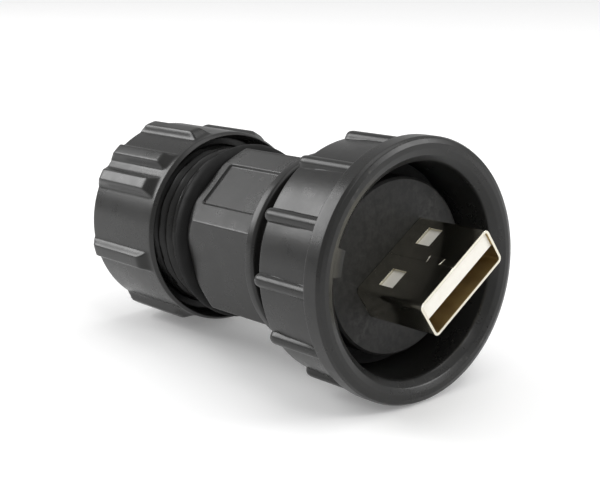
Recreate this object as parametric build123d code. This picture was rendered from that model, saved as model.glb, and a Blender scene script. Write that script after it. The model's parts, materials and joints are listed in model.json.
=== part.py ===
from build123d import *
from math import cos, pi, radians, tan
import os

# Sealed round USB plug for a cable end: a ribbed coupling nut turns freely on a hexagonal body,
# and a ribbed gland nut screws onto the body's rear thread to grip and seal the cable.
# The connector's axis is X, +X points out of the mouth towards the socket, and +Z is up as the
# connector lies on its side. The origin is on the axis, in the plane of the coupling nut's front face.
# All sizes are in millimetres. Angles are in degrees about X, from +Y towards +Z.

# Coupling nut
nut_length = 11.4
nut_bore_radius = 11.9
mouth_chamfer = 0.8
lip_radius = 14.7
lip_length = 2.5
lip_edge_drop = 0.7
lip_edge_length = 0.3
lip_step_length = 0.5
barrel_front_radius = 13.9
barrel_rear_radius = 13.6
barrel_edge = 0.4
rib_radius = 0.8
rib_count = 12
rib_turn = 0.0
tab_width = 2.9
tab_reach = 0.35
tab_length = 1.6
tab_turn = 164.5
web_thickness = 2.0

# Body
hex_across_flats = 19.5
hex_length = 12.7
hex_turn = 41.5
hex_corner_clip = 0.35
hex_clip_angle = 30.0
flange_radius = 11.4
flange_length = 1.4
flange_edge = 0.35
neck_radius = 10.3
neck_length = 3.5
journal_radius = 9.6
front_chamber_radius = 8.05
front_chamber_room = 1.5
wire_passage_radius = 6.5
label_width = 6.0
label_depth = 0.25
label_corner = 0.4
label_margin = 1.4
thread_radius = 10.0
thread_length = 8.9
thread_pitch = 1.5
thread_edge = 0.6
stem_wall = 2.4

# Insert and its seals
insert_radius = 9.93
insert_setback = 3.84
insert_overhang = 0.95
insert_edge = 0.25
gasket_thickness = 1.46
gasket_width = 1.85
seal_ring_section = 0.9
seal_ring_setback = 2.6
retaining_ring_thickness = 0.8
retaining_ring_radius = 10.9
retaining_ring_gap = 3.0
retaining_groove_depth = 0.6

# USB plug
plug_turn = 32.6
shell_width = 12.0
shell_height = 4.5
shell_length = 18.75
shell_reach = 5.7
shell_sheet = 0.3
shell_corner = 0.6
window_width = 2.5
window_length = 2.0
window_spacing = 6.5
window_setback = 5.2
tongue_thickness = 1.95
tongue_setback = 0.3
socket_depth = 9.3
insulator_rear_setback = 0.5
contact_width = 1.0
contact_thickness = 0.3
contact_rise = 0.05
contact_places = [-3.5, -1.0, 1.0, 3.5]
contact_setbacks = [0.9, 1.9, 1.9, 0.9]
contact_tail = 2.4

# Gland seal, grommet and clamp
gland_seal_section = 2.4
gland_seal_seat_radius = 8.4
grommet_length = 5.0
cable_radius = 2.75
pressure_washer_thickness = 0.8
cable_play = 0.65
claw_bore_step = 0.8
claw_ring_length = 1.8
claw_length = 5.8
claw_straight_length = 2.8
claw_tip_wall = 1.5
finger_count = 8
finger_slit = 0.8

# Gland nut
gland_standoff = 4.8
tighten_turns = 2.0
skirt_depth = 3.0
gland_cone_length = 2.8
gland_rear_wall = 1.3
gland_hole_play = 0.85
gland_front_edge_drop = 0.3
gland_front_edge_length = 0.5
mouth_edge_width = 0.1
mouth_lead_in = 1.0
skirt_wall = 0.8
gland_rear_edge = 0.6
ridge_height = 0.85
ridge_base_width = 2.7
ridge_top_width = 1.5
ridge_setback = 1.4
ridge_rear_slope = 1.2
ridge_count = 8
ridge_turn = 12.7
twin_ridge_turn = 130.0

# Clearances
running_gap = 0.06
seat_gap = 0.02
axial_gap = 0.1
stop_gap = 0.2
cone_gap = 0.25
claw_gap = 0.1
skirt_gap = 0.38

# Extra length of a cutter past the face it opens, or of a piece into the one it is fused to
join = 0.5

# Places along the axis, from the front to the rear
nut_rear = -nut_length
web_front = nut_rear + web_thickness
neck_front = nut_rear - axial_gap
flange_front = neck_front - neck_length
hex_front = flange_front - flange_length
hex_rear = hex_front - hex_length
seal_seat_length = gland_seal_section + 2 * seat_gap
thread_front = hex_rear - seal_seat_length
thread_rear = thread_front - thread_length
thread_travel = tighten_turns * thread_pitch
retaining_ring_rear = web_front + axial_gap
retaining_ring_front = retaining_ring_rear + retaining_ring_thickness
gasket_rear = retaining_ring_front + seat_gap
gasket_front = gasket_rear + gasket_thickness
insert_front = -insert_setback
disc_rear = gasket_front + seat_gap
shell_rear = shell_reach - shell_length
plug_rear = shell_rear - insert_overhang
insulator_rear = shell_rear + insulator_rear_setback
contact_rear = insulator_rear - contact_tail
chamber_rear = contact_rear - front_chamber_room
tongue_front = shell_reach - tongue_setback
socket_floor = shell_reach - socket_depth
gland_front = hex_rear - gland_standoff
gland_shoulder = thread_rear - thread_travel - stop_gap
gland_cone_rear = gland_shoulder - gland_cone_length
gland_rear = gland_cone_rear - gland_rear_wall
claw_front = gland_cone_rear + cone_gap + claw_length
claw_rear = claw_front - claw_length
washer_rear = claw_front + thread_travel + seat_gap
washer_front = washer_rear + pressure_washer_thickness
grommet_front = washer_front + grommet_length
pocket_front = grommet_front

# Radii that follow from the sizes above
shell_inner_width = shell_width - 2 * shell_sheet
shell_inner_height = shell_height - 2 * shell_sheet
tongue_bottom = shell_inner_height / 2 - tongue_thickness
seal_pocket_radius = thread_radius - stem_wall
claw_radius = seal_pocket_radius - claw_gap
claw_tip_bore_radius = cable_radius + cable_play
claw_bore_radius = claw_tip_bore_radius + claw_bore_step
claw_tip_radius = claw_tip_bore_radius + claw_tip_wall
gland_bore_radius = thread_radius + running_gap
gland_hole_radius = cable_radius + gland_hole_play
gland_seal_radius = gland_seal_seat_radius + seat_gap + gland_seal_section
skirt_radius = gland_seal_radius + skirt_gap
gland_land_radius = skirt_radius + skirt_wall
gland_face_radius = gland_land_radius - gland_front_edge_drop
mouth_radius = gland_face_radius - mouth_edge_width
ridge_radius = gland_land_radius + ridge_height


def turned(points):
    """A solid of revolution about the connector's axis, from (place along X, radius) points."""
    return revolve(make_face(Polyline(*points, close=True)), Axis.X)


def tube(rear, front, outer, inner):
    """A plain ring or sleeve about the axis."""
    return turned([(rear, inner), (front, inner), (front, outer), (rear, outer)])


def rod(rear, front, radius):
    """A plain round bar on the axis."""
    return turned([(rear, 0), (front, 0), (front, radius), (rear, radius)])


def bar(rear, front, section):
    """An outline in the YZ plane, drawn along X from its rear to its front."""
    return extrude(Plane.YZ.offset(rear) * section, front - rear)


def toothed(solid, tooth, angles):
    """The solid with a copy of the tooth, drawn pointing up, at each angle."""
    return solid + [Rot(X=angle - 90) * tooth for angle in angles]


def even_angles(count, start):
    return [start + 360 * k / count for k in range(count)]


def coupling_nut():
    """Ribbed nut with a plain lip, an open mouth and a rear web that runs on the body's journal."""
    face_radius = lip_radius - lip_edge_drop
    nut = turned([
        (0, nut_bore_radius + mouth_chamfer),
        (0, face_radius),
        (-lip_edge_length, lip_radius),
        (-lip_length, lip_radius),
        (-lip_length - lip_step_length, barrel_front_radius),
        (nut_rear + barrel_edge, barrel_rear_radius),
        (nut_rear, barrel_rear_radius - barrel_edge),
        (nut_rear, journal_radius + running_gap),
        (web_front, journal_radius + running_gap),
        (web_front, nut_bore_radius),
        (-mouth_chamfer, nut_bore_radius),
    ])
    # Half-round ribs lie on the barrel, with a ball end at the rear.
    rib_rear = nut_rear + rib_radius
    rib_length = -lip_length - rib_rear
    ball = Pos(rib_rear, 0, barrel_rear_radius) * Sphere(rib_radius)
    rib_middle = Pos(rib_rear + rib_length / 2, 0, barrel_rear_radius)
    rib = ball + rib_middle * Rot(Y=90) * Cylinder(rib_radius, rib_length)
    nut = toothed(nut, rib, even_angles(rib_count, rib_turn))
    # One tab stands in the mouth, level with the front face.
    tab_top = nut_bore_radius + mouth_chamfer + join
    tab_ring = tube(-tab_length, 0, tab_top, nut_bore_radius - tab_reach)
    tab_block = Pos(-tab_length / 2, 0, nut_bore_radius) * Box(tab_length, tab_width, 2 * tab_top)
    sector = tab_ring & tab_block
    upper = [solid for solid in sector.solids() if solid.center().Z > 0]
    return toothed(nut, upper[0], [tab_turn])


def body():
    """One moulding: journal, neck, flange, hexagon, seal seat, threaded stem and the passage through them."""
    outline = turned([
        (disc_rear, 0),
        (disc_rear, journal_radius),
        (neck_front, journal_radius),
        (neck_front, neck_radius),
        (flange_front, neck_radius),
        (flange_front, flange_radius - flange_edge),
        (flange_front - flange_edge, flange_radius),
        (hex_front, flange_radius),
        (hex_front, gland_seal_seat_radius),
        (thread_front, gland_seal_seat_radius),
        (thread_front, thread_radius - thread_edge),
        (thread_front - thread_edge, thread_radius),
        (thread_rear + thread_edge, thread_radius),
        (thread_rear, thread_radius - thread_edge),
        (thread_rear, 0),
    ])
    housing = outline + hexagon() - label_recess()
    housing -= tube(
        retaining_ring_rear - seat_gap,
        retaining_ring_front + seat_gap,
        journal_radius + join,
        journal_radius - retaining_groove_depth,
    )
    housing -= rod(chamber_rear, disc_rear, front_chamber_radius)
    housing -= rod(pocket_front, chamber_rear, wire_passage_radius)
    return housing - rod(thread_rear, pocket_front, seal_pocket_radius)


def hexagon():
    """The wrench hexagon, its corners turned off towards the gland nut. It is fused to the flange."""
    flat = hex_across_flats / 2
    corner = flat / cos(pi / 6)
    clip_length = (corner - flat - hex_corner_clip) / tan(radians(hex_clip_angle))
    section = RegularPolygon(flat, 6, major_radius=False, rotation=hex_turn)
    front = hex_front + join
    envelope = turned([
        (hex_rear, 0),
        (hex_rear, flat + hex_corner_clip),
        (hex_rear + clip_length, corner),
        (front, corner),
        (front, 0),
    ])
    return bar(hex_rear, front, section) & envelope


def label_recess():
    """Shallow bare panel sunk into the flat that faces up and to the front."""
    section = RectangleRounded(hex_length - 2 * label_margin, label_width, label_corner)
    middle = (hex_front + hex_rear) / 2
    panel = Pos(middle, 0, hex_across_flats / 2 - label_depth) * extrude(section, join)
    return Rot(X=hex_turn) * panel


def insert():
    """The carrier of the USB plug: a disc at the front and a stem that fills the body's tube."""
    stem_radius = front_chamber_radius - running_gap
    ring_front = disc_rear - seal_ring_setback + seal_ring_section / 2 + seat_gap
    ring_rear = ring_front - seal_ring_section - 2 * seat_gap
    carrier = turned([
        (insert_front, 0),
        (insert_front, insert_radius - insert_edge),
        (insert_front - insert_edge, insert_radius),
        (disc_rear, insert_radius),
        (disc_rear, stem_radius),
        (ring_front, stem_radius),
        (ring_front, stem_radius - seal_ring_section),
        (ring_rear, stem_radius - seal_ring_section),
        (ring_rear, stem_radius),
        (plug_rear, stem_radius),
        (plug_rear, 0),
    ])
    opening = RectangleRounded(shell_width + 2 * seat_gap, shell_height + 2 * seat_gap, shell_corner)
    return carrier - Rot(X=plug_turn) * bar(plug_rear, insert_front, opening)


def seal_ring():
    """Rubber ring between the insert's stem and the body's tube."""
    section = seal_ring_section / 2
    centre_radius = front_chamber_radius - seat_gap - section
    return Pos(disc_rear - seal_ring_setback, 0, 0) * Rot(Y=90) * Torus(centre_radius, section)


def mating_gasket():
    """Flat rubber ring at the bottom of the gap that takes the socket's barrel."""
    inner = journal_radius + seat_gap
    return tube(gasket_rear, gasket_front, inner + gasket_width, inner)


def retaining_ring():
    """Spring steel snap ring in the body's groove, which keeps the coupling nut on."""
    inner = journal_radius - retaining_groove_depth + seat_gap
    ring = tube(retaining_ring_rear, retaining_ring_front, retaining_ring_radius, inner)
    middle = (retaining_ring_rear + retaining_ring_front) / 2
    gap = Box(2 * retaining_ring_thickness, retaining_ring_gap, retaining_ring_radius)
    return ring - Pos(middle, 0, -inner - retaining_ring_radius / 2 + join) * gap


def usb_shell():
    """Folded sheet shell of the plug, with two latch windows in each wide face."""
    outer = RectangleRounded(shell_width, shell_height, shell_corner)
    inner = RectangleRounded(shell_inner_width, shell_inner_height, shell_corner - shell_sheet)
    shell = bar(shell_rear, shell_reach, outer - inner)
    window_x = shell_reach - window_setback - window_length / 2
    for side in (-1, 1):
        window = Box(window_length, window_width, shell_height + join)
        shell -= Pos(window_x, side * window_spacing / 2, 0) * window
    return Rot(X=plug_turn) * shell


def plug_contact(place, setback):
    """One flat contact, drawn straight from its tip on the tongue to its solder tail."""
    front = tongue_front - setback
    middle = Pos((front + contact_rear) / 2, place, tongue_bottom - contact_rise + contact_thickness / 2)
    return Rot(X=plug_turn) * middle * Box(front - contact_rear, contact_width, contact_thickness)


def usb_insulator(contacts):
    """White moulding: a block that fills the rear of the shell and the tongue under its upper face."""
    width = shell_inner_width - 2 * seat_gap
    height = shell_inner_height - 2 * seat_gap
    corner = shell_corner - shell_sheet
    block = bar(insulator_rear, socket_floor, RectangleRounded(width, height, corner))
    tongue = bar(socket_floor - join, tongue_front, RectangleRounded(width, height, corner))
    keep = Pos(0, 0, tongue_bottom + shell_height / 2) * Box(2 * shell_length, shell_width, shell_height)
    return Rot(X=plug_turn) * (block + (tongue & keep)) - contacts


def gland_seal():
    """Rubber ring on the seat between the hexagon and the thread."""
    section = gland_seal_section / 2
    centre_radius = gland_seal_seat_radius + seat_gap + section
    return Pos(hex_rear - seat_gap - section, 0, 0) * Rot(Y=90) * Torus(centre_radius, section)


def grommet():
    """Rubber sleeve that is squeezed onto the cable."""
    return tube(washer_front, grommet_front - seat_gap, seal_pocket_radius - seat_gap, cable_radius)


def pressure_washer():
    """Flat ring behind the grommet."""
    return tube(washer_rear, washer_front - seat_gap, seal_pocket_radius - running_gap, claw_tip_bore_radius)


def clamp_claw():
    """Ring with tapered fingers that the gland nut's cone closes on the cable."""
    straight_rear = claw_front - claw_straight_length
    claw = turned([
        (claw_front, claw_bore_radius),
        (claw_front, claw_radius),
        (straight_rear, claw_radius),
        (claw_rear, claw_tip_radius),
        (claw_rear, claw_tip_bore_radius),
        (straight_rear, claw_bore_radius),
    ])
    slit_front = claw_front - claw_ring_length
    slit_length = slit_front - claw_rear + join
    slit_middle = Pos(slit_front - slit_length / 2, 0, claw_radius / 2)
    slit = slit_middle * Box(slit_length, finger_slit, claw_radius + join)
    return claw - [Rot(X=angle) * slit for angle in even_angles(finger_count, 0)]


def gland_nut():
    """Nut with a flared skirt over the seal, a threaded bore, a closing cone and grip ridges."""
    cone_front_radius = claw_radius + cone_gap
    cone_rear_radius = claw_tip_radius + cone_gap
    nut = turned([
        (gland_front - mouth_lead_in, skirt_radius),
        (gland_front, mouth_radius),
        (gland_front, gland_face_radius),
        (gland_front - gland_front_edge_length, gland_land_radius),
        (gland_rear + gland_rear_edge, gland_land_radius),
        (gland_rear, gland_land_radius - gland_rear_edge),
        (gland_rear, gland_hole_radius),
        (gland_cone_rear, gland_hole_radius),
        (gland_cone_rear, cone_rear_radius),
        (gland_shoulder, cone_front_radius),
        (gland_shoulder, gland_bore_radius),
        (gland_front - skirt_depth, gland_bore_radius),
        (gland_front - skirt_depth, skirt_radius),
    ])
    root = gland_land_radius - gland_rear_edge / 2
    section = make_face(Polyline(
        (-ridge_base_width / 2, root),
        (ridge_base_width / 2, root),
        (ridge_top_width / 2, ridge_radius),
        (-ridge_top_width / 2, ridge_radius),
        close=True,
    ))
    ridge_front = gland_front - ridge_setback
    ridge = bar(gland_rear + gland_rear_edge / 2, ridge_front, section)
    # The ridges slope down at both ends, and one of them has a twin beside it.
    envelope = turned([
        (gland_rear, 0),
        (gland_rear, gland_land_radius - gland_rear_edge),
        (gland_rear + ridge_rear_slope, ridge_radius),
        (ridge_front - ridge_height, ridge_radius),
        (ridge_front, gland_land_radius),
        (ridge_front, 0),
    ])
    return toothed(nut, ridge & envelope, even_angles(ridge_count, ridge_turn) + [twin_ridge_turn])


def pieces():
    """Every separate piece by name."""
    contacts = [plug_contact(place, setback) for place, setback in zip(contact_places, contact_setbacks)]
    named = {
        "coupling_nut": coupling_nut(),
        "body": body(),
        "insert": insert(),
        "seal_ring": seal_ring(),
        "mating_gasket": mating_gasket(),
        "retaining_ring": retaining_ring(),
        "usb_shell": usb_shell(),
        "usb_insulator": usb_insulator(contacts),
        "gland_seal": gland_seal(),
        "grommet": grommet(),
        "pressure_washer": pressure_washer(),
        "clamp_claw": clamp_claw(),
        "gland_nut": gland_nut(),
    }
    for number, contact in enumerate(contacts, start=1):
        named[f"contact_{number}"] = contact
    return named


os.makedirs("parts", exist_ok=True)
for name, piece in pieces().items():
    export_step(piece, f"parts/{name}.step")
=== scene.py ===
import json
import math

import bpy
import numpy as np
from mathutils import Matrix, Vector


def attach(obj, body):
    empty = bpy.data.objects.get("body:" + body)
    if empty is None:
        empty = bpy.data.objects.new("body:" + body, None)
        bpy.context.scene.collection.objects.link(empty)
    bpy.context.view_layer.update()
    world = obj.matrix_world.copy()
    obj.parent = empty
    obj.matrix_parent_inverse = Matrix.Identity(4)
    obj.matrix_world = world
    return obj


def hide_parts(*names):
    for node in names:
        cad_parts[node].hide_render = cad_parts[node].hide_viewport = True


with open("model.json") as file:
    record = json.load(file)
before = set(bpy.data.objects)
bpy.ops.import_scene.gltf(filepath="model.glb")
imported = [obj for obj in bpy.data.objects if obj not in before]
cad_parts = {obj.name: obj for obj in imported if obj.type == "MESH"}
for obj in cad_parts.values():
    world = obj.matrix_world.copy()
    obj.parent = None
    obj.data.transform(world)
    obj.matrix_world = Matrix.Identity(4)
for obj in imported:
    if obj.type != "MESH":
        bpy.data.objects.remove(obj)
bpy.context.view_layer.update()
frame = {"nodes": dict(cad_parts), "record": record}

# Sizes are in millimetres, and angles in degrees about X from +Y towards +Z, as in the CAD
MM = 0.001
NEAR = 0.01

# Coupling nut
NUT_REAR = -11.4
NUT_REAR_BEVEL = 0.4
NUT_WEB_FRONT = -9.4
NUT_JOURNAL_BORE = 9.66
NUT_BORE = 11.9
NUT_BORE_FRONT = -1.0
MOUTH_FLARE_FRONT = -0.25
MOUTH_FLARE_WIDTH = 0.8
MOUTH_WIDTH = 1.5
LIP_RADIUS = 14.7
LIP_FACE_DROP = 0.75
LIP_BEVEL = 0.2
LIP_BEVEL_REAR = -0.6
LIP_REAR = -2.5
BARREL_FRONT = -3.0
BARREL_FRONT_RADIUS = 13.9
BARREL_REAR_RADIUS = 13.6
RIB_RADIUS = 0.8
RIB_FRONT_MARGIN = 0.1
RIB_FOOT = 0.16
RIB_FALL = 3
RIB_TURNS = [30 * k for k in range(12)]
TAB_TURN = 164.5
TAB_HALF_WIDTH = 1.45
TAB_RADIUS = 11.55
TAB_LENGTH = 1.6
TAB_SIDE_SLOPE = 0.1
TAB_REAR_SLOPE = 0.15
TAB_REAR_MARGIN = 0.2
TAB_ROOT_DEPTH = 0.75

# Body, from its front tube to the hexagon
TUBE_FRONT = -7.0
TUBE_REAR = -16.45
TUBE_BORE = 8.05
TUBE_EDGE = 0.1
JOURNAL_RADIUS = 9.6
GROOVE_FRONT = -8.48
GROOVE_REAR = -9.32
GROOVE_RADIUS = 9.0
GROOVE_EDGE = 0.05
NECK_FRONT = -11.5
NECK_RADIUS = 10.3
FLANGE_FRONT = -15.0
FLANGE_RADIUS = 11.4
FLANGE_REAR_EDGE = 0.12
FLANGE_FILLET = 0.2
FRONT_CLOSING_RADIUS = 9.0
HEX_FLAT = 9.75
HEX_CORNER_RADIUS = 0.3
HEX_FRONT = -16.4
HEX_REAR = -29.1
HEX_FACE_TURN = 131.5
HEX_REAR_LIMIT = 10.1
HEX_REAR_EDGE = 0.12
HEX_CLIP_SLOPE = math.tan(math.radians(30))
HEX_CLIP_BLEND = 0.2
LABEL_MIDDLE = -22.75
LABEL_HALF_LENGTH = 4.95
LABEL_HALF_WIDTH = 3.0
LABEL_CORNER = 0.4
LABEL_DEPTH = 0.25
LABEL_WALL = 0.14

# Body, from the seal's seat to the end of the threaded stem
SEAT_RADIUS = 8.4
SEAT_FRONT_FILLET = 0.25
SEAT_REAR_FILLET = 0.2
SEAT_REAR_TOP = 8.9
THREAD_FRONT = -31.54
THREAD_REAR = -40.44
THREAD_RADIUS = 10.0
THREAD_DEPTH = 0.85
THREAD_PITCH = 1.5
THREAD_ROOT_SHARE = 0.14
THREAD_FLANK_SHARE = 0.72
THREAD_BEVEL = 0.75
STEM_BORE = 7.6
STEM_BORE_FRONT = -31.57
STEM_BORE_BEVEL = 0.15
INSERT_BORE = 6.5

# Gland nut
GLAND_FRONT = -33.9
GLAND_REAR = -47.74
GLAND_LAND_RADIUS = 12.0
GLAND_FRONT_EDGE = 0.5
GLAND_FRONT_FACE_RADIUS = 11.7
GLAND_REAR_EDGE = 0.6
GLAND_REAR_FACE_RADIUS = 11.4
SKIRT_LIP_RADIUS = 11.6
SKIRT_LIP_DEPTH = 1.0
SKIRT_BORE = 11.2
SKIRT_DEPTH = 3.0
GLAND_THREAD_BORE = 10.06
CONE_FRONT = -43.64
CONE_FRONT_RADIUS = 7.75
CONE_REAR = -46.44
CONE_REAR_RADIUS = 5.25
CABLE_HOLE_RADIUS = 3.6
RIDGE_RADIUS = 12.85
RIDGE_FRONT = -35.3
RIDGE_FRONT_EDGE = 0.7
RIDGE_FRONT_MARGIN = 0.9
RIDGE_REAR_SLOPE = 1.2
RIDGE_EDGE = 0.4
RIDGE_FOOT = 0.6
RIDGE_HALF_TOP = 0.75
RIDGE_HALF_BASE = 1.19
RIDGE_TURNS = [12.7 + 45 * k for k in range(8)] + [130.0]

# USB plug shell
PLUG_TURN = 32.6
SHELL_HALF_WIDTH = 6.0
SHELL_HALF_HEIGHT = 2.25
SHELL_CORNER = 0.6
SHELL_SHEET = 0.3
SHELL_FRONT = 5.7
SHELL_REAR = -13.05
SHELL_STAMPED_EDGE = 0.03
WINDOW_MIDDLES = (-3.25, 3.25)
WINDOW_HALF_WIDTH = 1.25
WINDOW_FRONT = 0.5
WINDOW_REAR = -1.5
SEAM_GAP = 0.02
SEAM_SIDE = -0.1
SEAM_EDGES = (SEAM_SIDE - SEAM_GAP / 2, SEAM_SIDE + SEAM_GAP / 2)
LOCK_SIDE = 0.75
LOCK_EDGES = (LOCK_SIDE - SEAM_GAP / 2, LOCK_SIDE + SEAM_GAP / 2)
LOCK_REAR = 1.95
LOCK_MIDDLE = 2.8
LOCK_FRONT = 3.7
LOCK_END_GAP = 0.09
LOCK_SLANT = 0.14

# How close together the meshes have their rings, across X, and their columns, round it
NUT_RING_STEP = 0.4
GLAND_RING_STEP = 0.35
TUBE_RING_STEP = 1.5
HEX_RING_STEP = 0.55
HEX_PLAIN_START = 2.1
HEX_PLAIN_OVERLAP = 0.6
HEX_REAR_LENGTH = 2.0
HEX_REAR_RINGS = 22
HEX_FILLET_RINGS = 6
THREAD_RING_STEP = 0.1
FIRST_RING = 0.02
COLUMN_STEP = 2.6
BODY_COLUMN_STEP = 3.0
RIB_COLUMNS = (0, 0.16, 0.32, 0.46, 0.58, 0.67, 0.74, 0.79, 0.84, 0.9, 1.0, 1.2, 1.6)
TAB_COLUMNS = (-0.9, -0.5, -0.25, 0, 0.25, 0.5, 0.9)
RIDGE_COLUMNS = (0, 0.3, 0.5, 0.6, 0.68, 0.76, 0.84, 0.94, 1.04, 1.12, 1.2, 1.28, 1.38, 1.5, 1.7)
CORNER_COLUMNS = (0, 0.3, 0.6, 0.9, 1.3, 1.8, 2.6, 4, 6, 9)
LABEL_COLUMNS = (-2.4, -1.6, -0.9, -0.5, -0.25, 0, 0.25, 0.5, 0.9)
LABEL_RINGS = (-0.45, -0.3, -0.18, -0.08, -0.04, 0, 0.04, 0.08, 0.18, 0.3, 0.45)
SHEET_PLACES = (-9.0, -5.0, -3.0, -0.5, 1.2, LOCK_MIDDLE, 4.8)
SHEET_SIDES = (-5.0, -1.0, 0.3, 1.4, 5.0)

# Angles from which an edge is shaded, or rounded, as an edge
MESH_CREASE = 35
CAD_CREASE = 30
BEVEL_CREASE = 40


# Outlines and meshes

def rounded_outline(corners, steps=6):
    """Closed (x, radius) outline from (x, radius, edge radius) corners, with each edge rounded."""
    count = len(corners)
    points = []
    for k in range(count):
        corner = np.array(corners[k][:2], float)
        edge = corners[k][2]
        if edge <= 0:
            points.append(corner)
            continue
        before = np.array(corners[k - 1][:2], float) - corner
        after = np.array(corners[(k + 1) % count][:2], float) - corner
        before_length, after_length = np.linalg.norm(before), np.linalg.norm(after)
        before, after = before / before_length, after / after_length
        half = math.acos(max(-1.0, min(1.0, float(before @ after)))) / 2
        reach = min(edge / math.tan(half), 0.48 * before_length, 0.48 * after_length)
        radius = reach * math.tan(half)
        bisector = (before + after) / np.linalg.norm(before + after)
        centre = corner + bisector * radius / math.sin(half)
        start, end = corner + before * reach - centre, corner + after * reach - centre
        swing = math.atan2(start[0] * end[1] - start[1] * end[0], float(start @ end))
        for step in range(steps + 1):
            a = swing * step / steps
            along = start[0] * math.cos(a) - start[1] * math.sin(a)
            out = start[0] * math.sin(a) + start[1] * math.cos(a)
            points.append(centre + (along, out))
    return np.array(points)


def divided(outline, spacing, lowest_radius=0.0):
    """The closed outline with points added on its long runs that lie outside a radius."""
    points = []
    for here, there in zip(outline, np.roll(outline, -1, axis=0)):
        points.append(here)
        length = float(np.linalg.norm(there - here))
        if min(here[1], there[1]) >= lowest_radius and length > spacing:
            parts = math.ceil(length / spacing)
            points += [here + (there - here) * k / parts for k in range(1, parts)]
    return np.array(points)


def columns(middles, offsets, widest):
    """Angles all round: close together beside each middle, and never further apart than widest."""
    angles = sorted({round((m + s * o) % 360, 5) for m in middles for o in offsets for s in (-1, 1)})
    filled = []
    for here, there in zip(angles, angles[1:] + [angles[0] + 360]):
        parts = max(1, math.ceil((there - here) / widest))
        filled += [here + (there - here) * k / parts for k in range(parts)]
    return np.array(filled)


def off_centre(angles, middles):
    """Angle from the nearest middle to each column."""
    gaps = (angles[:, None] - np.array(middles)[None, :] + 180) % 360 - 180
    return gaps[np.arange(len(angles)), np.abs(gaps).argmin(1)]


def blend_up(a, b, width):
    """The larger of two heights, with a fillet where they meet."""
    near = np.maximum(width - np.abs(a - b), 0) / width
    return np.maximum(a, b) + near * near * width / 4


def blend_down(a, b, width):
    """The smaller of two heights, with a rounded edge where they meet."""
    return -blend_up(-a, -b, width)


def make_piece(name, points, faces, body, replaced):
    """A smooth-shaded mesh piece from points in millimetres, riding on its body."""
    mesh = bpy.data.meshes.new(name)
    mesh.from_pydata((np.asarray(points) * MM).tolist(), [], [list(map(int, f)) for f in faces])
    mesh.validate()
    mesh.shade_smooth()
    mesh.set_sharp_from_angle(angle=math.radians(MESH_CREASE))
    piece = bpy.data.objects.new(name, mesh)
    bpy.context.scene.collection.objects.link(piece)
    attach(piece, body)
    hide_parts(*replaced)
    return piece


def ring_faces(rows, cols):
    """Quads of a grid that closes on itself both ways, facing outwards."""
    row, col = np.meshgrid(np.arange(rows), np.arange(cols), indexing="ij")
    next_row, next_col = (row + 1) % rows, (col + 1) % cols
    corners = [(row, col), (next_row, col), (next_row, next_col), (row, next_col)]
    return np.stack([(r * cols + c).ravel() for r, c in corners], 1)


def turned_points(x, radius, angles):
    """Points of a body of revolution whose radius may change with the angle."""
    a = np.radians(angles)[None, :]
    x = np.broadcast_to(x[:, None], radius.shape)
    return np.stack([x, radius * np.cos(a), radius * np.sin(a)], -1).reshape(-1, 3)


def moulding(name, x, radius, angles, body, replaced):
    """A piece with a ring at each place in x and a column at each angle, which is dressed in black nylon
    later.
    """
    points = turned_points(x, radius, angles)
    return make_piece(name, points, ring_faces(len(x), len(angles)), body, replaced)


# Coupling nut

def nut_outline():
    """Profile from the mouth over the lip and the barrel, then back through web and bore."""
    return rounded_outline([
        (MOUTH_FLARE_FRONT, NUT_BORE + MOUTH_FLARE_WIDTH, 0.5),
        (0, NUT_BORE + MOUTH_WIDTH, 0.4),
        (0, LIP_RADIUS - LIP_FACE_DROP, 0.3),
        (-LIP_BEVEL, LIP_RADIUS - LIP_BEVEL, 0.25),
        (LIP_BEVEL_REAR, LIP_RADIUS, 0.3),
        (LIP_REAR, LIP_RADIUS, 0.2),
        (BARREL_FRONT, BARREL_FRONT_RADIUS, 0.2),
        (NUT_REAR + NUT_REAR_BEVEL, BARREL_REAR_RADIUS, 0.25),
        (NUT_REAR, BARREL_REAR_RADIUS - NUT_REAR_BEVEL, 0.2),
        (NUT_REAR, NUT_JOURNAL_BORE, 0.1),
        (NUT_WEB_FRONT, NUT_JOURNAL_BORE, 0.1),
        (NUT_WEB_FRONT, NUT_BORE, 0.2),
        (NUT_BORE_FRONT, NUT_BORE, 0.7),
    ])


def rib_radius(x, angles):
    """Where a ray from the axis leaves the nearest rib, a rod on the barrel with a ball at its rear end."""
    off = np.radians(off_centre(angles, RIB_TURNS))[None, :]
    side = np.abs(BARREL_REAR_RADIUS * np.sin(off))
    behind = np.maximum(NUT_REAR + RIB_RADIUS - x, 0)[:, None]
    rod = np.sqrt(np.maximum(RIB_RADIUS ** 2 - behind ** 2, 1e-6))
    rise = np.sqrt(np.maximum(rod ** 2 - side ** 2, 0))
    return BARREL_REAR_RADIUS * np.cos(off) + rise - RIB_FALL * np.maximum(side - rod, 0)


def tab_share(x, angles):
    """1 on the mouth's tab and 0 beside it, with short slopes between."""
    side = np.abs(off_centre(angles, [TAB_TURN]))[None, :] * math.pi / 180 * NUT_BORE
    across = np.clip((TAB_HALF_WIDTH - side) / TAB_SIDE_SLOPE + 0.5, 0, 1)
    return across * np.clip((x[:, None] + TAB_LENGTH) / TAB_REAR_SLOPE, 0, 1)


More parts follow.
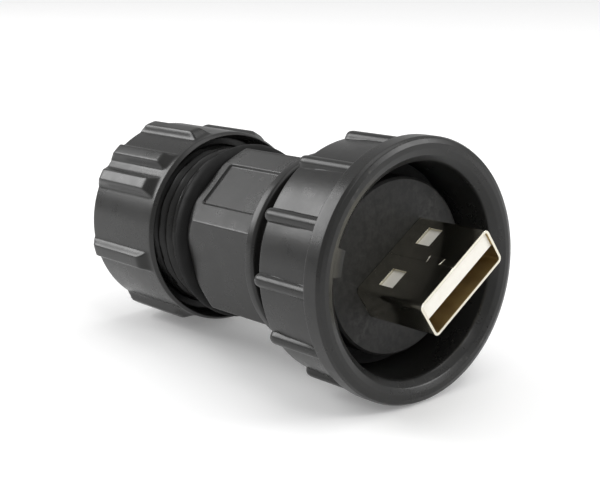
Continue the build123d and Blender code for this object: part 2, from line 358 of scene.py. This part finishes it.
def coupling_nut():
    """Ring with twelve round ribs behind a plain lip, and one tab that stands in its mouth."""
    x, r = divided(nut_outline(), NUT_RING_STEP, NUT_BORE - NEAR).T
    rib_columns = [math.degrees(math.asin(u / BARREL_REAR_RADIUS)) for u in RIB_COLUMNS]
    tab_edge = math.degrees(TAB_HALF_WIDTH / NUT_BORE)
    angles = np.unique(np.concatenate([
        columns(RIB_TURNS, rib_columns, COLUMN_STEP),
        columns([TAB_TURN], [tab_edge + d for d in TAB_COLUMNS], 360),
    ]))
    radius = np.broadcast_to(r[:, None], (len(x), len(angles)))
    on_barrel = (r > BARREL_REAR_RADIUS - NUT_REAR_BEVEL - 2 * NEAR) & (x < LIP_REAR + RIB_FRONT_MARGIN)
    ribbed = blend_up(radius, rib_radius(x, angles), RIB_FOOT)
    radius = np.where(on_barrel[:, None], ribbed, radius)
    in_mouth = (r < NUT_BORE + TAB_ROOT_DEPTH) & (x > -TAB_LENGTH - TAB_REAR_MARGIN)
    tabbed = radius + tab_share(x, angles) * (np.minimum(TAB_RADIUS, radius) - radius)
    radius = np.where(in_mouth[:, None], tabbed, radius)
    return moulding("coupling_nut_moulding", x, radius, angles, "coupling", ["coupling_nut"])


# Gland nut

def gland_outline():
    """Profile from the skirt's mouth over the land to the rear face, then back through cone and bore."""
    skirt_rear = GLAND_FRONT - SKIRT_DEPTH
    return rounded_outline([
        (GLAND_FRONT - SKIRT_LIP_DEPTH, SKIRT_BORE, 0.3),
        (GLAND_FRONT, SKIRT_LIP_RADIUS, 0.06),
        (GLAND_FRONT, GLAND_FRONT_FACE_RADIUS, 0.06),
        (GLAND_FRONT - GLAND_FRONT_EDGE, GLAND_LAND_RADIUS, 0.5),
        (GLAND_REAR + GLAND_REAR_EDGE, GLAND_LAND_RADIUS, 0.45),
        (GLAND_REAR, GLAND_REAR_FACE_RADIUS, 0.3),
        (GLAND_REAR, CABLE_HOLE_RADIUS, 0.25),
        (CONE_REAR, CABLE_HOLE_RADIUS, 0.1),
        (CONE_REAR, CONE_REAR_RADIUS, 0.1),
        (CONE_FRONT, CONE_FRONT_RADIUS, 0.1),
        (CONE_FRONT, GLAND_THREAD_BORE, 0.1),
        (skirt_rear, GLAND_THREAD_BORE, 0.2),
        (skirt_rear, SKIRT_BORE, 0.3),
    ])


def ridge_radius(x, angles):
    """Radius of the nearest ridge, with sloping sides, which slopes down to the land at both ends."""
    side = np.abs(np.radians(off_centre(angles, RIDGE_TURNS))[None, :]) * GLAND_LAND_RADIUS
    height = RIDGE_RADIUS - GLAND_LAND_RADIUS
    flank = GLAND_LAND_RADIUS + height * (RIDGE_HALF_BASE - side) / (RIDGE_HALF_BASE - RIDGE_HALF_TOP)
    rear_height = RIDGE_RADIUS - GLAND_REAR_FACE_RADIUS
    rear_slope = (GLAND_REAR_FACE_RADIUS + rear_height * (x - GLAND_REAR) / RIDGE_REAR_SLOPE)[:, None]
    front_slope = (GLAND_LAND_RADIUS + RIDGE_FRONT - x)[:, None]
    top = blend_down(np.full_like(rear_slope, RIDGE_RADIUS), rear_slope, RIDGE_EDGE)
    top = blend_down(top, front_slope, RIDGE_FRONT_EDGE)
    return blend_down(flank, top, RIDGE_EDGE)


def gland_nut():
    """Ridged nut with a hollow flared skirt in front and a flat rear face round the cable's hole."""
    x, r = divided(gland_outline(), GLAND_RING_STEP, GLAND_REAR_FACE_RADIUS - NEAR).T
    angles = columns(RIDGE_TURNS, [math.degrees(u / GLAND_LAND_RADIUS) for u in RIDGE_COLUMNS], COLUMN_STEP)
    radius = np.broadcast_to(r[:, None], (len(x), len(angles)))
    on_land = (r > GLAND_REAR_FACE_RADIUS - 2 * NEAR) & (x < GLAND_FRONT - RIDGE_FRONT_MARGIN)
    ridged = blend_up(radius, ridge_radius(x, angles), RIDGE_FOOT)
    radius = np.where(on_land[:, None], ridged, radius)
    return moulding("gland_nut_moulding", x, radius, angles, "gland", ["gland_nut"])


# Body

def front_outline():
    """From the tube's mouth over the journal, the ring's groove and the neck to the flange's rear edge."""
    outline = divided(rounded_outline([
        (TUBE_FRONT, TUBE_BORE, TUBE_EDGE),
        (TUBE_FRONT, JOURNAL_RADIUS, 0.15),
        (GROOVE_FRONT, JOURNAL_RADIUS, GROOVE_EDGE),
        (GROOVE_FRONT, GROOVE_RADIUS, GROOVE_EDGE),
        (GROOVE_REAR, GROOVE_RADIUS, GROOVE_EDGE),
        (GROOVE_REAR, JOURNAL_RADIUS, GROOVE_EDGE),
        (NECK_FRONT, JOURNAL_RADIUS, 0.1),
        (NECK_FRONT, NECK_RADIUS, 0.25),
        (FLANGE_FRONT, NECK_RADIUS, 0.2),
        (FLANGE_FRONT, FLANGE_RADIUS, 0.5),
        (HEX_FRONT, FLANGE_RADIUS, FLANGE_REAR_EDGE),
        (HEX_FRONT, FRONT_CLOSING_RADIUS, 0),
    ]), TUBE_RING_STEP)
    ends = ((TUBE_FRONT, TUBE_BORE + TUBE_EDGE), (HEX_FRONT, FLANGE_RADIUS - FLANGE_REAR_EDGE))
    mouth, rim = [np.argmin(np.hypot(outline[:, 0] - x, outline[:, 1] - r)) for x, r in ends]
    return outline[mouth:rim + 1]


def hexagon_rings():
    """Places along the hexagon, close together at its fillet, at the panel's ends and at its rear."""
    label_front, label_rear = LABEL_MIDDLE + LABEL_HALF_LENGTH, LABEL_MIDDLE - LABEL_HALF_LENGTH
    turns = np.linspace(0, math.pi / 2, HEX_FILLET_RINGS)
    rings = [HEX_FRONT - FLANGE_FILLET * (1 - math.cos(a)) for a in turns]
    rings += [end + d for end in (label_front, label_rear) for d in LABEL_RINGS]
    rings += list(np.arange(HEX_FRONT - HEX_PLAIN_START, label_rear + HEX_PLAIN_OVERLAP, -HEX_RING_STEP))
    rings += list(np.linspace(HEX_REAR + HEX_REAR_LENGTH, HEX_REAR + FIRST_RING, HEX_REAR_RINGS))
    return np.array(sorted(set(np.round(rings, 4)), reverse=True))


def seat_outline():
    """From the hexagon's rear face down to the seal's seat and up to the thread."""
    return rounded_outline([
        (HEX_REAR, HEX_FLAT, 0),
        (HEX_REAR, SEAT_RADIUS, SEAT_FRONT_FILLET),
        (THREAD_FRONT, SEAT_RADIUS, SEAT_REAR_FILLET),
        (THREAD_FRONT, SEAT_REAR_TOP, 0),
    ])[1:]


def bore_outline():
    """From the stem's rear end forward through the stem, the insert's bore and the tube."""
    return np.array([
        (THREAD_REAR, STEM_BORE + STEM_BORE_BEVEL),
        (THREAD_REAR + STEM_BORE_BEVEL, STEM_BORE),
        (STEM_BORE_FRONT, STEM_BORE),
        (STEM_BORE_FRONT, INSERT_BORE),
        (TUBE_REAR, INSERT_BORE),
        (TUBE_REAR, TUBE_BORE),
        (TUBE_FRONT - 3 * TUBE_EDGE, TUBE_BORE),
        (TUBE_FRONT - TUBE_EDGE, TUBE_BORE + 0.3 * TUBE_EDGE),
    ])


def hexagon_radius(angles):
    """Distance from the axis to a hexagon with rounded corners, in each direction."""
    off = np.radians((angles - HEX_FACE_TURN + 30) % 60 - 30)
    flat = HEX_FLAT / np.cos(off)
    arc_centre = (HEX_FLAT - HEX_CORNER_RADIUS) / math.cos(math.pi / 6)
    from_corner = math.pi / 6 - np.abs(off)
    side = arc_centre * np.sin(from_corner)
    arc = arc_centre * np.cos(from_corner) + np.sqrt(np.maximum(HEX_CORNER_RADIUS ** 2 - side ** 2, 0))
    return np.where(side < HEX_CORNER_RADIUS / 2, arc, flat)


def label_drop(x, angles):
    """How far the bare label panel is sunk below its flat."""
    off = np.radians((angles - HEX_FACE_TURN + 180) % 360 - 180)
    widest, far_away = 1.2, 99.0
    across = np.where(np.abs(off) < widest, HEX_FLAT * np.tan(np.clip(off, -widest, widest)), far_away)
    dx = np.abs(x - LABEL_MIDDLE) - (LABEL_HALF_LENGTH - LABEL_CORNER)
    ds = np.abs(across) - (LABEL_HALF_WIDTH - LABEL_CORNER)
    outside = np.hypot(np.maximum(dx, 0), np.maximum(ds, 0)) + np.minimum(np.maximum(dx, ds), 0)
    share = np.clip((LABEL_CORNER - outside) / LABEL_WALL + 0.5, 0, 1)
    return LABEL_DEPTH * share * share * (3 - 2 * share)


def hexagon_surface(x, angles):
    """Hexagon with a fillet to the flange, its sunk panel, and its rear corners turned off."""
    from_rear = x - HEX_REAR
    turned_off = HEX_REAR_LIMIT + from_rear * HEX_CLIP_SLOPE
    hexagon = blend_down(hexagon_radius(angles), turned_off, HEX_CLIP_BLEND)
    rear_edge = HEX_REAR_EDGE * (1 - np.sqrt(np.clip(1 - (1 - from_rear / HEX_REAR_EDGE) ** 2, 0, 1)))
    hexagon = hexagon - np.where(from_rear < HEX_REAR_EDGE, rear_edge, 0) - label_drop(x, angles)
    from_flange = np.clip((HEX_FRONT - x) / FLANGE_FILLET, 0, 1)
    fillet = FLANGE_FILLET * (1 - np.sqrt(1 - (1 - from_flange) ** 2))
    return np.minimum(hexagon + fillet, FLANGE_RADIUS - FLANGE_REAR_EDGE - NEAR)


def thread_surface(x, angles):
    """Right-hand thread with bevelled ends."""
    phase = (x / THREAD_PITCH - angles / 360) % 1
    tooth = np.clip((np.abs(phase - 0.5) * 2 - THREAD_ROOT_SHARE) / THREAD_FLANK_SHARE, 0, 1)
    crest = THREAD_RADIUS - THREAD_DEPTH * (1 - tooth)
    bevel = THREAD_RADIUS - THREAD_BEVEL + np.minimum(THREAD_FRONT - x, x - THREAD_REAR)
    return np.minimum(crest, bevel)


def plain_stretch(outline, angles):
    """Places and radii of a stretch whose radius is the same at every angle."""
    return outline[:, 0], np.repeat(outline[:, 1:], len(angles), 1)


def body_moulding():
    """Front tube, neck, round flange, hexagon with its sunk panel, seal seat and threaded stem."""
    corners = [HEX_FACE_TURN + 30 + 60 * k for k in range(6)]
    label_edge = math.degrees(math.atan(LABEL_HALF_WIDTH / HEX_FLAT))
    label_columns = [HEX_FACE_TURN + s * (label_edge + d) for s in (-1, 1) for d in LABEL_COLUMNS]
    angles = np.concatenate([columns(corners, CORNER_COLUMNS, BODY_COLUMN_STEP), label_columns])
    angles = np.unique(np.round(angles, 4))
    hexagon_x = hexagon_rings()
    thread_x = np.arange(THREAD_FRONT - FIRST_RING, THREAD_REAR, -THREAD_RING_STEP)
    stretches = [
        plain_stretch(front_outline(), angles),
        (hexagon_x, hexagon_surface(hexagon_x[:, None], angles)),
        plain_stretch(seat_outline(), angles),
        (thread_x, thread_surface(thread_x[:, None], angles)),
        plain_stretch(bore_outline(), angles),
    ]
    x, radius = [np.concatenate(values) for values in zip(*stretches)]
    return moulding("body_moulding", x, radius, angles, "plug_body", ["body"])


# USB plug shell

def sheet_corner(side, up, radius, start):
    """Points clockwise round a quarter turn of the folded sheet."""
    turns = [math.radians(start - a) for a in range(0, 91, 15)]
    return [(side + radius * math.cos(a), up + radius * math.sin(a)) for a in turns]


def shell_section(stations, inset):
    """Points (side, up) clockwise round the sheet, from the middle of its upper face."""
    radius = SHELL_CORNER - inset
    w, h = SHELL_HALF_WIDTH - inset, SHELL_HALF_HEIGHT - inset
    points = [(s, h) for s in stations if s >= 0]
    points += sheet_corner(w - radius, h - radius, radius, 90)
    points += sheet_corner(w - radius, radius - h, radius, 0)
    points += [(s, -h) for s in reversed(stations)]
    points += sheet_corner(radius - w, radius - h, radius, 270)
    points += sheet_corner(radius - w, h - radius, radius, 180)
    points += [(s, h) for s in stations if s < 0]
    return points


def in_window(x, side):
    """Whether a place on the upper or lower face lies in a latch window."""
    from_middle = min(abs(side - middle) for middle in WINDOW_MIDDLES)
    return WINDOW_REAR < x < WINDOW_FRONT and from_middle < WINDOW_HALF_WIDTH


def in_seam(x, side):
    """Whether a place on the upper face lies in the gap of the seam, which runs round the lock."""
    if LOCK_REAR < x < LOCK_FRONT:
        return LOCK_EDGES[0] < side < LOCK_EDGES[1]
    if LOCK_REAR - LOCK_END_GAP < x < LOCK_FRONT + LOCK_END_GAP:
        return SEAM_EDGES[0] < side < LOCK_EDGES[1]
    return SEAM_EDGES[0] < side < SEAM_EDGES[1]


def is_open(rear, front, here, there):
    """Whether a cell between two places and two points of the section is a window or part of the seam."""
    on_face = here[1] == there[1] and abs(here[1]) == SHELL_HALF_HEIGHT
    x, side = (rear + front) / 2, (here[0] + there[0]) / 2
    return on_face and (in_window(x, side) or (here[1] > 0 and in_seam(x, side)))


def slanted(x, side, up):
    """The lock's ends slant, so that its head is wider than its neck."""
    near_lock = LOCK_REAR - 2 * LOCK_END_GAP < x < LOCK_FRONT + 2 * LOCK_END_GAP
    if up > 0 and near_lock and SEAM_EDGES[0] <= side <= LOCK_EDGES[1]:
        share = (side - SEAM_EDGES[0]) / (LOCK_EDGES[1] - SEAM_EDGES[0])
        return x + LOCK_SLANT * share * np.sign(x - LOCK_MIDDLE)
    return x


def sheet_faces(gone, rows, count):
    """Faces outside and inside the sheet where it isn't gone, and the walls along its edges."""
    layer = rows * count

    def number(side, row, col):
        return side * layer + row * count + col % count

    faces = []
    for row in range(rows - 1):
        for col in range(count):
            if gone[row][col]:
                continue
            a, b, c, d = (row, col), (row, col + 1), (row + 1, col + 1), (row + 1, col)
            faces.append([number(0, *corner) for corner in (d, c, b, a)])
            faces.append([number(1, *corner) for corner in (a, b, c, d)])
            walls = []
            if row == 0 or gone[row - 1][col]:
                walls.append((b, a))
            if row == rows - 2 or gone[row + 1][col]:
                walls.append((d, c))
            if gone[row][col - 1]:
                walls.append((a, d))
            if gone[row][(col + 1) % count]:
                walls.append((c, b))
            faces += [[number(1, *p), number(1, *q), number(0, *q), number(0, *p)] for p, q in walls]
    return faces


def usb_shell():
    """Folded sheet with latch windows and a seam that locks with one dovetail."""
    windows = [m + s * WINDOW_HALF_WIDTH for m in WINDOW_MIDDLES for s in (-1, 1)]
    stations = sorted([*SEAM_EDGES, *LOCK_EDGES, *windows, *WINDOW_MIDDLES, *SHEET_SIDES])
    outer, inner = shell_section(stations, 0), shell_section(stations, SHELL_SHEET)
    places = sorted([SHELL_REAR, WINDOW_REAR, WINDOW_FRONT, LOCK_REAR - LOCK_END_GAP, LOCK_REAR,
                     LOCK_FRONT, LOCK_FRONT + LOCK_END_GAP, SHELL_FRONT, *SHEET_PLACES])
    count, rows = len(outer), len(places)
    gone = [[is_open(rear, front, outer[col], outer[(col + 1) % count]) for col in range(count)]
            for rear, front in zip(places, places[1:])]
    faces = sheet_faces(gone, rows, count)
    points = [(slanted(x, s, u), s, u) for section in (outer, inner) for x in places for s, u in section]
    x, side, up = np.array(points).T
    cos, sin = math.cos(math.radians(PLUG_TURN)), math.sin(math.radians(PLUG_TURN))
    placed = np.stack([x, side * cos - up * sin, side * sin + up * cos], 1)
    used = np.unique(np.concatenate(faces))
    number = {int(old): new for new, old in enumerate(used)}
    inside = [int(min(face) >= rows * count) for face in faces]
    faces = [[number[corner] for corner in face] for face in faces]
    shell = make_piece("usb_shell_sheet", placed[used], faces, "plug_body", ["usb_shell"])
    # The inner faces get the darker copy of the nickel: painted shade and a painted warm reflection in the
    # cavity
    dress(shell, FINISHES["nickel"], FINISHES["nickel_inside"])
    shell.data.polygons.foreach_set("material_index", inside)
    rounding = shell.modifiers.new("stamped edges", "BEVEL")
    rounding.width = SHELL_STAMPED_EDGE * MM
    rounding.segments = 2
    rounding.limit_method = "ANGLE"
    rounding.angle_limit = math.radians(BEVEL_CREASE)
    return shell


# Shader nodes, and the numbers of the mix node's sockets, whose names aren't unique

MIX_FACTOR = 0
MIX_VALUES = (2, 3)
MIX_COLOURS = (6, 7)
MIXED_VALUE = 0
MIXED_COLOUR = 2


def node(tree, kind, values=(), **settings):
    """One shader node, with its settings and the values of its named inputs."""
    made = tree.nodes.new(kind)
    for key, value in settings.items():
        setattr(made, key, value)
    for key, value in dict(values).items():
        made.inputs[key].default_value = value
    return made


def colour_mix(tree, factor, *colours):
    """Colour between two others, each of which is a colour or the output that it comes from."""
    mix = node(tree, "ShaderNodeMix", data_type="RGBA")
    tree.links.new(factor, mix.inputs[MIX_FACTOR])
    for socket, colour in zip(MIX_COLOURS, colours):
        if isinstance(colour, tuple):
            mix.inputs[socket].default_value = (*colour, 1)
        else:
            tree.links.new(colour, mix.inputs[socket])
    return mix.outputs[MIXED_COLOUR]


def place_in_mm(tree):
    """The place on the piece itself, in millimetres."""
    where = node(tree, "ShaderNodeTexCoord")
    to_mm = node(tree, "ShaderNodeVectorMath", {"Scale": 1 / MM}, operation="SCALE")
    tree.links.new(where.outputs["Object"], to_mm.inputs[0])
    return to_mm.outputs[0]


def sized_noise(tree, place, size, **values):
    """Noise with features of the size in millimetres that comes from an output."""
    scale = node(tree, "ShaderNodeMath", {0: 1.0}, operation="DIVIDE")
    tree.links.new(size, scale.inputs[1])
    noise = node(tree, "ShaderNodeTexNoise", values)
    tree.links.new(place, noise.inputs["Vector"])
    tree.links.new(scale.outputs[0], noise.inputs["Scale"])
    return noise.outputs["Fac"]


def effect_group(name, inputs, outputs):
    """An empty shader node group with named inputs, each with its usual value, and named outputs."""
    tree = bpy.data.node_groups.new(name, "ShaderNodeTree")
    for label, value in inputs.items():
        socket = tree.interface.new_socket(label, in_out="INPUT", socket_type="NodeSocketFloat")
        socket.default_value = value
    for label in outputs:
        tree.interface.new_socket(label, in_out="OUTPUT", socket_type="NodeSocketFloat")
    return tree, tree.nodes.new("NodeGroupInput").outputs, tree.nodes.new("NodeGroupOutput").inputs


# Effects that the finishes share

def moulded_grain():
    """Fine grain of the mould with a broader unevenness, as a height and as a mask."""
    tree, given, result = effect_group(
        "Moulded grain", {"Grain Size": 0.1, "Ripple Size": 0.8, "Ripple Share": 0.5}, ["Height", "Mottle"])
    place = place_in_mm(tree)
    fine = sized_noise(tree, place, given["Grain Size"], Detail=3.0, Roughness=0.55)
    ripple = sized_noise(tree, place, given["Ripple Size"], Detail=2.0, Roughness=0.55)
    height = node(tree, "ShaderNodeMix", data_type="FLOAT")
    tree.links.new(given["Ripple Share"], height.inputs[MIX_FACTOR])
    for socket, noise in zip(MIX_VALUES, (fine, ripple)):
        tree.links.new(noise, height.inputs[socket])
    tree.links.new(height.outputs[MIXED_VALUE], result["Height"])
    tree.links.new(ripple, result["Mottle"])
    return tree


def worn_edges():
    """Mask of raised edges, broken up as handling wears them."""
    tree, given, result = effect_group(
        "Worn edges", {"Edge Start": 0.53, "Edge End": 0.62, "Patch Size": 1.5}, ["Mask"])
    shape = node(tree, "ShaderNodeNewGeometry")
    edge = node(tree, "ShaderNodeMapRange", interpolation_type="SMOOTHSTEP")
    tree.links.new(shape.outputs["Pointiness"], edge.inputs["Value"])
    tree.links.new(given["Edge Start"], edge.inputs["From Min"])
    tree.links.new(given["Edge End"], edge.inputs["From Max"])
    patches = sized_noise(tree, place_in_mm(tree), given["Patch Size"], Detail=4.0, Roughness=0.6)
    broken = node(tree, "ShaderNodeMapRange", {"From Min": 0.38, "From Max": 0.62})
    tree.links.new(patches, broken.inputs["Value"])
    both = node(tree, "ShaderNodeMath", operation="MULTIPLY")
    tree.links.new(edge.outputs["Result"], both.inputs[0])
    tree.links.new(broken.outputs["Result"], both.inputs[1])
    tree.links.new(both.outputs[0], result["Mask"])
    return tree


def handling_marks():
    """Roughness between two values, in soft smudges."""
    tree, given, result = effect_group(
        "Handling marks", {"Smudge Size": 4.0, "Low": 0.3, "High": 0.5}, ["Roughness"])
    smudge = sized_noise(
        tree, place_in_mm(tree), given["Smudge Size"], Detail=5.0, Roughness=0.62, Distortion=0.4)
    spread = node(tree, "ShaderNodeMapRange", {"From Min": 0.3, "From Max": 0.7})
    tree.links.new(smudge, spread.inputs["Value"])
    tree.links.new(given["Low"], spread.inputs["To Min"])
    tree.links.new(given["High"], spread.inputs["To Max"])
    tree.links.new(spread.outputs["Result"], result["Roughness"])
    return tree


GRAIN = moulded_grain()
WEAR = worn_edges()
MARKS = handling_marks()


# Finishes

def plain_material(name, uniform):
    """A new material with its node tree and its shader, whose uniform values are set."""
    material = bpy.data.materials.new(name)
    material.use_nodes = True
    shader = material.node_tree.nodes["Principled BSDF"]
    for label, value in dict(uniform).items():
        shader.inputs[label].default_value = value
    return material, material.node_tree, shader


def finish(name, dark, light, worn, grain, marks, wear, bump, uniform=()):
    """A finish: colour varies from dark to light, edges go towards worn, and grain lifts the surface."""
    material, tree, shader = plain_material(name, uniform)
    grain = node(tree, "ShaderNodeGroup", grain, node_tree=GRAIN)
    marks = node(tree, "ShaderNodeGroup", marks, node_tree=MARKS)
    wear = node(tree, "ShaderNodeGroup", wear, node_tree=WEAR)
    shade = colour_mix(tree, grain.outputs["Mottle"], dark, light)
    colour = colour_mix(tree, wear.outputs["Mask"], shade, worn)
    tree.links.new(colour, shader.inputs["Base Color"])
    tree.links.new(marks.outputs["Roughness"], shader.inputs["Roughness"])
    strength, distance = bump
    relief = node(tree, "ShaderNodeBump", {"Strength": strength, "Distance": distance * MM})
    tree.links.new(grain.outputs["Height"], relief.inputs["Height"])
    tree.links.new(relief.outputs["Normal"], shader.inputs["Normal"])
    return material


def black_nylon():
    """Moulded nylon: grained, with a low sheen and rubbed edges."""
    return finish(
        "black nylon",
        dark=(0.01, 0.01, 0.0096), light=(0.016, 0.0158, 0.015), worn=(0.042, 0.041, 0.038),
        grain={"Grain Size": 0.2, "Ripple Size": 0.6, "Ripple Share": 0.5},
        marks={"Smudge Size": 3.5, "Low": 0.24, "High": 0.36},
        wear={"Edge Start": 0.53, "Edge End": 0.66, "Patch Size": 0.8},
        bump=(0.18, 0.04),
        uniform={"Specular IOR Level": 0.36})


def insert_plastic():
    """Matt black plastic round the plug."""
    return finish(
        "insert plastic",
        dark=(0.0066, 0.0066, 0.0062), light=(0.008, 0.0079, 0.0075), worn=(0.03, 0.029, 0.0275),
        grain={"Grain Size": 0.12, "Ripple Size": 1.1, "Ripple Share": 0.2},
        marks={"Smudge Size": 3.0, "Low": 0.5, "High": 0.6},
        wear={"Edge Start": 0.54, "Edge End": 0.68, "Patch Size": 0.7},
        bump=(0.2, 0.012),
        uniform={"Specular IOR Level": 0.3})


def nickel():
    """Bright, slightly warm plate of the shell's outside."""
    return finish(
        "nickel plate",
        dark=(0.64, 0.61, 0.5), light=(0.72, 0.69, 0.59), worn=(0.84, 0.82, 0.76),
        grain={"Grain Size": 0.05, "Ripple Size": 1.6, "Ripple Share": 0.6},
        marks={"Smudge Size": 2.2, "Low": 0.1, "High": 0.2},
        wear={"Edge Start": 0.52, "Edge End": 0.6, "Patch Size": 0.6},
        bump=(0.06, 0.01),
        uniform={"Metallic": 1.0})


def nickel_inside():
    """Darker, yellower and duller copy of the nickel plate for the shell's inside: painted shade and a
    painted warm reflection in the cavity.
    """
    return finish(
        "nickel plate with painted shade inside the shell",
        dark=(0.4, 0.3, 0.14), light=(0.5, 0.38, 0.19), worn=(0.6, 0.5, 0.32),
        grain={"Grain Size": 0.05, "Ripple Size": 1.0, "Ripple Share": 0.6},
        marks={"Smudge Size": 1.6, "Low": 0.3, "High": 0.42},
        wear={"Edge Start": 0.52, "Edge End": 0.6, "Patch Size": 0.6},
        bump=(0.1, 0.01),
        uniform={"Metallic": 1.0})


def white_plastic():
    """Warm white plastic of the insulator."""
    return finish(
        "white plastic",
        dark=(0.8, 0.77, 0.69), light=(0.85, 0.83, 0.75), worn=(0.87, 0.85, 0.79),
        grain={"Grain Size": 0.08, "Ripple Size": 1.2, "Ripple Share": 0.4},
        marks={"Smudge Size": 2.0, "Low": 0.32, "High": 0.45},
        wear={"Edge Start": 0.55, "Edge End": 0.7, "Patch Size": 0.7},
        bump=(0.12, 0.01))


def gold_contact():
    """Gold plate of the contacts."""
    return finish(
        "gold plate",
        dark=(0.83, 0.56, 0.22), light=(0.9, 0.66, 0.3), worn=(0.92, 0.72, 0.4),
        grain={"Grain Size": 0.05, "Ripple Size": 0.6, "Ripple Share": 0.5},
        marks={"Smudge Size": 1.2, "Low": 0.16, "High": 0.3},
        wear={"Edge Start": 0.53, "Edge End": 0.62, "Patch Size": 0.5},
        bump=(0.08, 0.01),
        uniform={"Metallic": 1.0})


def black_rubber():
    """Dull black rubber of the seals."""
    return finish(
        "black rubber",
        dark=(0.003, 0.003, 0.003), light=(0.005, 0.0049, 0.0048), worn=(0.012, 0.012, 0.0118),
        grain={"Grain Size": 0.12, "Ripple Size": 0.9, "Ripple Share": 0.4},
        marks={"Smudge Size": 1.8, "Low": 0.55, "High": 0.72},
        wear={"Edge Start": 0.54, "Edge End": 0.7, "Patch Size": 0.7},
        bump=(0.4, 0.03),
        uniform={"Specular IOR Level": 0.2})


def spring_steel():
    """Grey steel with a dull shine."""
    return finish(
        "spring steel",
        dark=(0.4, 0.4, 0.4), light=(0.5, 0.5, 0.49), worn=(0.6, 0.6, 0.58),
        grain={"Grain Size": 0.05, "Ripple Size": 0.7, "Ripple Share": 0.5},
        marks={"Smudge Size": 1.2, "Low": 0.25, "High": 0.4},
        wear={"Edge Start": 0.53, "Edge End": 0.65, "Patch Size": 0.6},
        bump=(0.15, 0.01),
        uniform={"Metallic": 1.0})


FINISHES = {make.__name__: make() for make in (
    black_nylon, insert_plastic, nickel, nickel_inside,
    white_plastic, gold_contact, black_rubber, spring_steel)}


def dress(piece, *materials):
    """Gives the piece these materials in place of what it has."""
    piece.data.materials.clear()
    for material in materials:
        piece.data.materials.append(material)


# Pieces

slots = {part["node"]: part["material_slot"] for part in frame["record"]["subparts"]}
for name, piece in frame["nodes"].items():
    dress(piece, FINISHES[slots[name]])
    piece.data.shade_smooth()
    piece.data.set_sharp_from_angle(angle=math.radians(CAD_CREASE))
for piece in (coupling_nut(), gland_nut(), body_moulding()):
    dress(piece, FINISHES["black_nylon"])
usb_shell()


# Floor, lights and camera; the floor tilts, because the connector lies on its coupling nut and gland nut

REST_TILT = 2.75
REST_POINT = Vector((-10.6, 0, -14.42)) * MM
FLOOR_RADIUS = 1800 * MM
FLOOR_SIDES = 48
CAMERA_PLACE = Vector((94.95, -96.07, 35.92)) * MM
CAMERA_RIGHT = Vector((0.64606, 0.76253, -0.03386))
CAMERA_DOWN = Vector((0.15535, -0.17479, -0.97227))
CAMERA_FORWARD = Vector((-0.74731, 0.62289, -0.23138))
CAMERA_SENSOR = 36
CAMERA_LENS = 78


def white_paper():
    """Matt paper with a faint pattern of fibres, which glows a little so that it stays white."""
    paper, tree, shader = plain_material("white paper", {
        "Roughness": 0.85,
        "Specular IOR Level": 0.2,
        "Emission Color": (1, 1, 1, 1),
        "Emission Strength": 0.17,
    })
    fibres = node(tree, "ShaderNodeTexNoise", {"Scale": 60.0, "Detail": 3.0})
    where = node(tree, "ShaderNodeTexCoord")
    tree.links.new(where.outputs["Object"], fibres.inputs["Vector"])
    tone = colour_mix(tree, fibres.outputs["Fac"], (0.9, 0.9, 0.9), (0.92, 0.92, 0.92))
    tree.links.new(tone, shader.inputs["Base Color"])
    return paper


def white_floor():
    """A wide pale disc under the connector."""
    turns = [2 * math.pi * k / FLOOR_SIDES for k in range(FLOOR_SIDES)]
    ring = [(FLOOR_RADIUS * math.cos(a), FLOOR_RADIUS * math.sin(a), 0) for a in turns]
    wedges = [(0, k + 1, (k + 1) % FLOOR_SIDES + 1) for k in range(FLOOR_SIDES)]
    mesh = bpy.data.meshes.new("white_floor")
    mesh.from_pydata([(0, 0, 0)] + ring, [], wedges)
    floor = bpy.data.objects.new("white_floor", mesh)
    bpy.context.scene.collection.objects.link(floor)
    floor.location = REST_POINT
    floor.rotation_euler = (0, math.radians(REST_TILT), 0)
    dress(floor, white_paper())


def soft_light(name, place, aim, side, power):
    """A square softbox that faces a point; places and side are in metres and power is in watts."""
    data = bpy.data.lights.new(name, "AREA")
    data.shape = "SQUARE"
    data.size = side
    data.energy = power
    light = bpy.data.objects.new(name, data)
    bpy.context.scene.collection.objects.link(light)
    light.location = place
    light.rotation_euler = (Vector(aim) - Vector(place)).to_track_quat("-Z", "Y").to_euler()


def photo_camera():
    """The camera where the photograph was taken from."""
    data = bpy.data.cameras.new("photo camera")
    data.sensor_fit = "HORIZONTAL"
    data.sensor_width = CAMERA_SENSOR
    data.lens = CAMERA_LENS
    data.clip_start, data.clip_end = 0.01, 10
    camera = bpy.data.objects.new("photo camera", data)
    bpy.context.scene.collection.objects.link(camera)
    turn = Matrix((CAMERA_RIGHT, -CAMERA_DOWN, -CAMERA_FORWARD)).transposed().to_4x4()
    camera.matrix_world = Matrix.Translation(CAMERA_PLACE) @ turn
    bpy.context.scene.camera = camera


def bright_studio():
    """Even white light from all round."""
    world = bpy.data.worlds.new("bright studio")
    world.use_nodes = True
    light = world.node_tree.nodes["Background"].inputs
    light["Color"].default_value = (1, 1, 1, 1)
    light["Strength"].default_value = 0.55
    bpy.context.scene.world = world


white_floor()
photo_camera()
soft_light("overhead softbox", place=(0.05, 0.12, 0.6), aim=(-0.02, 0, 0), side=0.5, power=1.2)
soft_light("left softbox", place=(-0.383, -0.205, 0.24), aim=(-0.02, 0, 0), side=0.24, power=1.15)
soft_light("right softbox", place=(0.31, 0.28, 0.17), aim=(-0.01, 0, 0), side=0.18, power=0.65)
soft_light("front softbox", place=(0.32, -0.12, 0.44), aim=(0, 0, 0), side=0.13, power=0.3)
bright_studio()
bpy.context.scene.view_settings.view_transform = "Standard"
